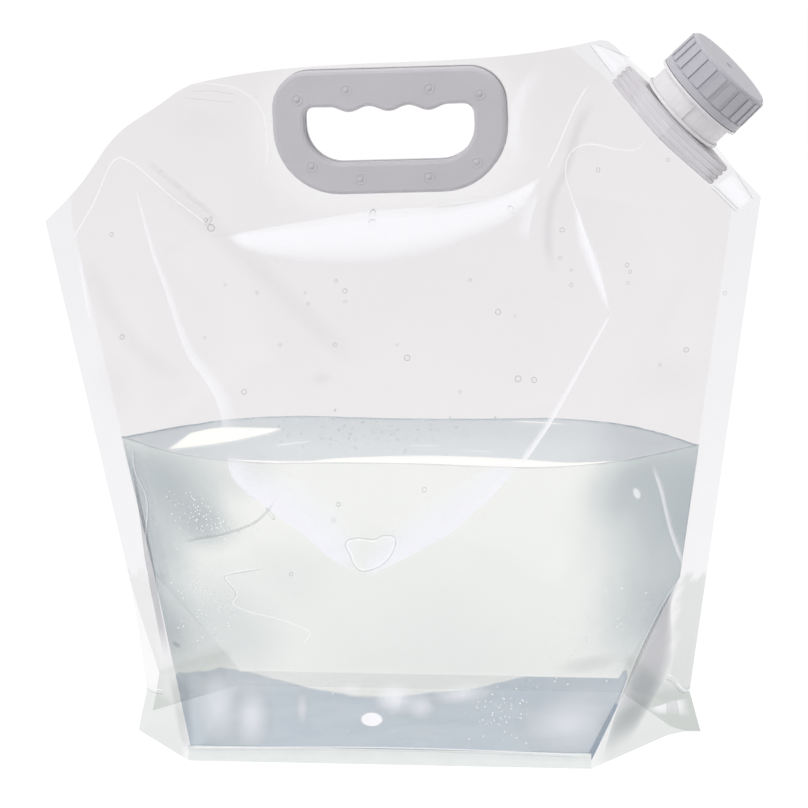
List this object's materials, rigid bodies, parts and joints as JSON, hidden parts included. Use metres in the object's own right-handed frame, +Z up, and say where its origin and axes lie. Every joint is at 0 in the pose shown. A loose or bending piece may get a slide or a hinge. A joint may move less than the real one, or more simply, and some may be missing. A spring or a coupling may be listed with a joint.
{
  "type": "collapsible water carrier",
  "caption": "Stand-up clear film water carrier with a folded bottom gusset, a two-piece snap handle with finger grips and a screw-capped spout in one cut corner.",
  "frame": {"origin": "middle of the base, on the surface the carrier stands on", "axes": "+Z up, -Y the front with the finger bumps at the top of the grip, +X towards the spout corner"},
  "size_m": [0.3309, 0.145, 0.3243],
  "materials": {
    "clear_film": "clear glossy film",
    "sealed_film": "welded film strip, slightly milky",
    "handle_grey": "satin grey moulding",
    "cap_grey": "satin grey moulding",
    "spout_natural": "natural milky moulding",
    "liner_foam": "off-white foam disc"
  },
  "bodies": {
    "pouch": {"front_panel": "clear_film", "rear_panel": "clear_film", "bottom_gusset": "clear_film", "spout_fitment": "spout_natural", "handle_front": "handle_grey", "handle_rear": "handle_grey"},
    "liner": {"cap_liner": "liner_foam"},
    "cap": {"screw_cap": "cap_grey"},
    "front_hem": {"front_hem": "sealed_film"},
    "rear_hem": {"rear_hem": "sealed_film"}
  },
  "joints": [
    {"name": "cap_lift", "type": "slide", "parent": "pouch", "child": "liner", "axis": [0.7204, 0, 0.6936], "range_m": [0, 0.0161]},
    {"name": "cap_turn", "type": "hinge", "parent": "liner", "child": "cap", "pos_m": [0.1128, 0, 0.27871], "axis": [0.7204, 0, 0.6936], "range_deg": [0, 1440]},
    {"name": "front_fold", "type": "slide", "parent": "pouch", "child": "front_hem", "axis": [0, 1, 0], "range_m": [0, 0.071], "deforming": ["front_panel", "rear_panel", "bottom_gusset"]},
    {"name": "rear_fold", "type": "slide", "parent": "pouch", "child": "rear_hem", "axis": [0, -1, 0], "range_m": [0, 0.0711]}
  ],
  "couplings": [
    {"joint": "cap_lift", "follows": "cap_turn", "m_per_rad": 0.00063662},
    {"joint": "rear_fold", "follows": "front_fold", "ratio": 1}
  ]
}
